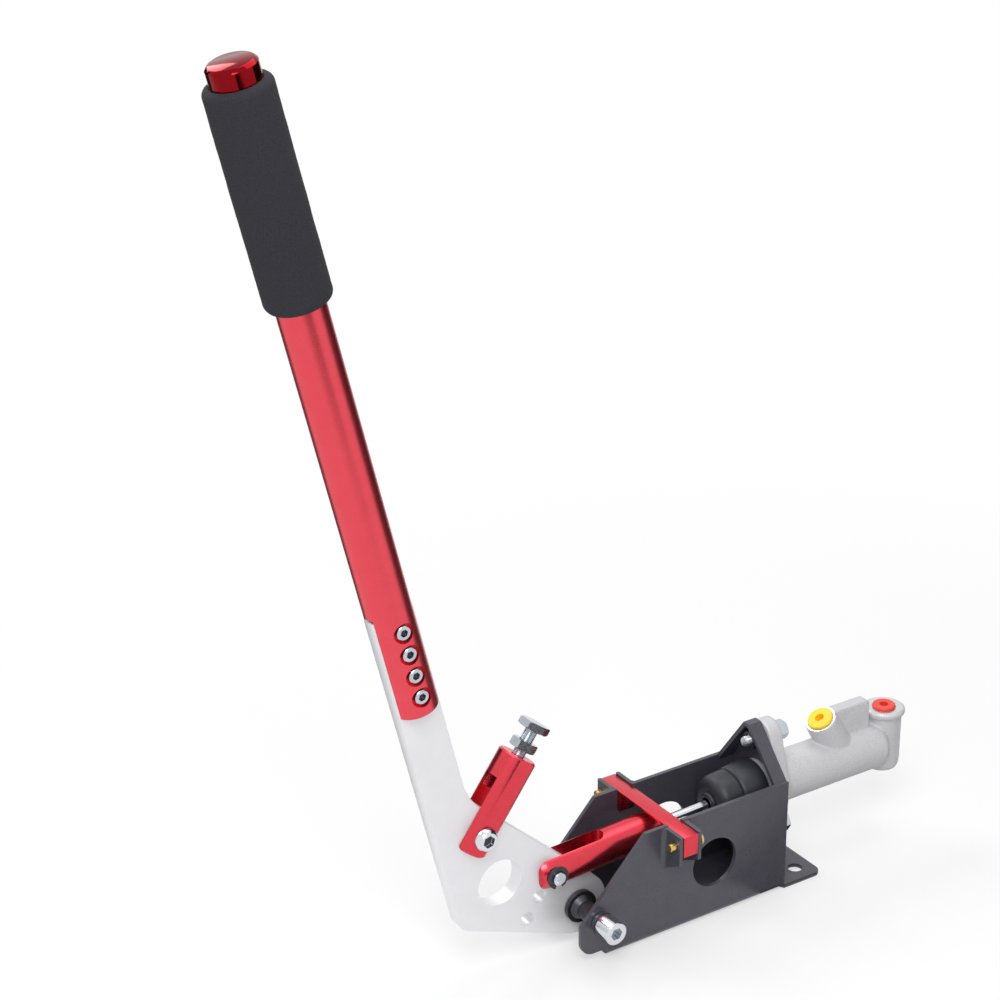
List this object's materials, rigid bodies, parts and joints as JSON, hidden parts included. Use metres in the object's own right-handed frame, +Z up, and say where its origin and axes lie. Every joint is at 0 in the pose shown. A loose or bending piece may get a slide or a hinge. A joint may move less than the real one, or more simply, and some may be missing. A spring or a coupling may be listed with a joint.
{
  "type": "hydraulic parking brake lever",
  "caption": "Upright hand lever on a folded channel base, pivoting to push a master cylinder, with a foam grip and a swing-over lock strut.",
  "frame": {"origin": "on the underside of the base, in its centre plane, below the face that the master cylinder is bolted to", "axes": "+Z up from the base, +X back along the master cylinder, +Y across the base"},
  "size_m": [0.5577, 0.1027, 0.6774],
  "materials": {
    "red_anodised": "satin anodised",
    "brushed_aluminium": "brushed",
    "black_coating": "satin powder coat",
    "cast_aluminium": "sand cast, matt",
    "black_foam": "closed-cell foam, matt",
    "black_rubber": "moulded, matt",
    "bright_steel": "polished",
    "zinc_steel": "bright zinc",
    "dark_steel": "black oxide",
    "yellow_plastic": "moulded",
    "orange_plastic": "moulded"
  },
  "bodies": {
    "base": {"base_channel": "black_coating", "crossbar": "red_anodised", "crossbar_bolt_near": "bright_steel", "crossbar_bolt_far": "bright_steel", "pivot_spacer_near": "dark_steel", "pivot_spacer_far": "dark_steel", "pivot_collar": "zinc_steel", "pivot_lock_ring": "dark_steel", "pivot_bolt": "bright_steel", "pivot_nut": "zinc_steel", "cylinder_body": "cast_aluminium", "boot": "black_rubber", "flange_bolt_upper": "zinc_steel", "flange_bolt_lower": "zinc_steel", "flange_nut_upper": "dark_steel", "flange_nut_lower": "dark_steel", "outlet_plug": "yellow_plastic", "inlet_plug": "orange_plastic", "stop_washer": "zinc_steel", "circlip": "dark_steel", "return_spring": "zinc_steel"},
    "lever": {"lever_plate": "brushed_aluminium", "pivot_bush": "zinc_steel", "handle_tube": "red_anodised", "foam_grip": "black_foam", "end_cap": "red_anodised", "tube_screw_1": "zinc_steel", "tube_screw_2": "zinc_steel", "tube_screw_3": "zinc_steel", "tube_screw_4": "zinc_steel", "strut_screw": "bright_steel", "strut_nut": "zinc_steel"},
    "strut": {"lock_strut": "red_anodised"},
    "lock": {"lock_bolt": "zinc_steel", "lock_nut": "zinc_steel"},
    "link": {"clevis": "red_anodised", "clevis_pin": "zinc_steel", "e_clip_near": "dark_steel", "e_clip_far": "dark_steel", "push_rod": "bright_steel", "rod_nut": "zinc_steel"},
    "piston": {"piston": "zinc_steel", "primary_seal": "black_rubber", "secondary_seal": "black_rubber"}
  },
  "joints": [
    {"name": "lever_pivot", "type": "hinge", "parent": "base", "child": "lever", "pos_m": [-0.1675, 0, 0.0325], "axis": [0, 1, 0], "range_deg": [0, 30]},
    {"name": "clevis_pivot", "type": "hinge", "parent": "lever", "child": "link", "pos_m": [-0.19047, 0, 0.06653], "axis": [0, 1, 0], "range_deg": [-28.5, 0.5]},
    {"name": "piston_slide", "type": "slide", "parent": "base", "child": "piston", "axis": [1, 0, 0], "range_m": [0, 0.0205], "stiffness_N_per_m": 2000, "springref_m": -0.015, "deforming": ["return_spring", "boot"]},
    {"name": "strut_pivot", "type": "hinge", "parent": "lever", "child": "strut", "pos_m": [-0.24954, 0, 0.11708], "axis": [0, 1, 0], "range_deg": [-30, 49]},
    {"name": "lock_adjust", "type": "slide", "parent": "strut", "child": "lock", "axis": [0.585, 0, 0.8111], "range_m": [-0.004, 0.019]}
  ],
  "couplings": [
    {"joint": "clevis_pivot", "follows": "lever_pivot", "ratio": -0.9225},
    {"joint": "piston_slide", "follows": "lever_pivot", "m_per_rad": 0.0386}
  ]
}
